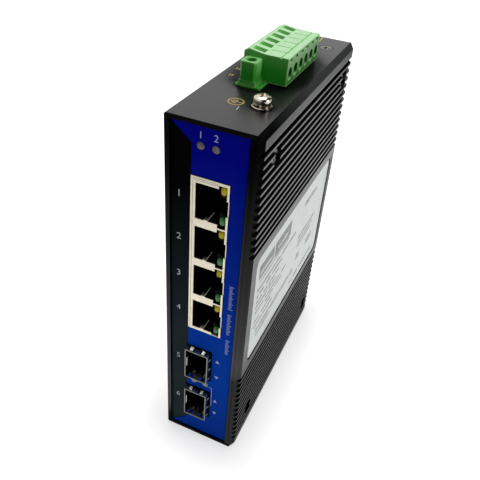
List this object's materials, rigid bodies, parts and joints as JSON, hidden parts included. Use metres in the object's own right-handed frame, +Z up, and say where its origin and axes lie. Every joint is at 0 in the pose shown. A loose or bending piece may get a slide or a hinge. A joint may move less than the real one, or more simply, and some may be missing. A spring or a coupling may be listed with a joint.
{
  "type": "ethernet switch",
  "caption": "Slim upright rail-mounted ethernet switch with stacked network jacks, pluggable-module cages, a ribbed side cover and a plug-in terminal block on top.",
  "frame": {"origin": "middle of the case's underside, without the cover's outer part and the rail clip", "axes": "+Z up, -Y out of the front with the jacks, +X out of the ribbed side cover"},
  "size_m": [0.0295, 0.0997, 0.1478],
  "materials": {
    "black_steel": "matt black powder coat",
    "black_aluminium": "black anodised",
    "label_paper": "satin",
    "zinc_steel": "zinc plated",
    "black_screw": "blackened",
    "black_panel": "matt black",
    "blue_film": "satin film",
    "tinned_steel": "tin plated",
    "black_plastic": "moulded",
    "gold_contact": "gold plated",
    "yellow_lens": "tinted lens",
    "green_lens": "tinted lens",
    "clear_lens": "milky lens",
    "cage_steel": "nickel plated",
    "board_laminate": "solder mask",
    "green_plastic": "moulded",
    "nickel_screw": "nickel plated",
    "plain_aluminium": "plain",
    "spring_steel": "plain"
  },
  "bodies": {
    "root": {"chassis": "black_steel", "side_cover": "black_aluminium", "rating_label": "label_paper", "cover_brackets": "zinc_steel", "cover_screws": "black_screw", "case_screw": "black_screw", "front_panel": "black_panel", "front_overlay": "blue_film", "jack_shield": "tinned_steel", "jack_housing": "black_plastic", "jack_contacts": "gold_contact", "jack_yellow_lamps": "yellow_lens", "jack_green_lamps": "green_lens", "cage_lower": "cage_steel", "cage_upper": "cage_steel", "module_socket_lower": "black_plastic", "module_socket_upper": "black_plastic", "status_lamps": "clear_lens", "link_lamps": "clear_lens", "status_lamp_holder": "black_plastic", "link_lamp_holder": "black_plastic", "main_board": "board_laminate", "board_standoffs": "zinc_steel", "board_screws": "zinc_steel", "terminal_header": "green_plastic", "header_pins": "gold_contact", "terminal_plug": "green_plastic", "clamp_cages": "zinc_steel", "clamp_screws": "zinc_steel", "flange_screws": "zinc_steel", "ground_screw": "nickel_screw", "ground_spring_washer": "nickel_screw", "ground_flat_washer": "nickel_screw", "rail_clip": "plain_aluminium", "rail_spring": "spring_steel", "rail_screws": "zinc_steel", "switch_chip": "black_plastic", "chip_heatsink": "plain_aluminium", "magnetics": "black_plastic", "capacitors": "plain_aluminium", "input_choke": "black_plastic", "power_inductor": "black_plastic", "power_chip": "black_plastic", "memory_chip": "black_plastic", "crystal": "tinned_steel"}
  },
  "joints": []
}
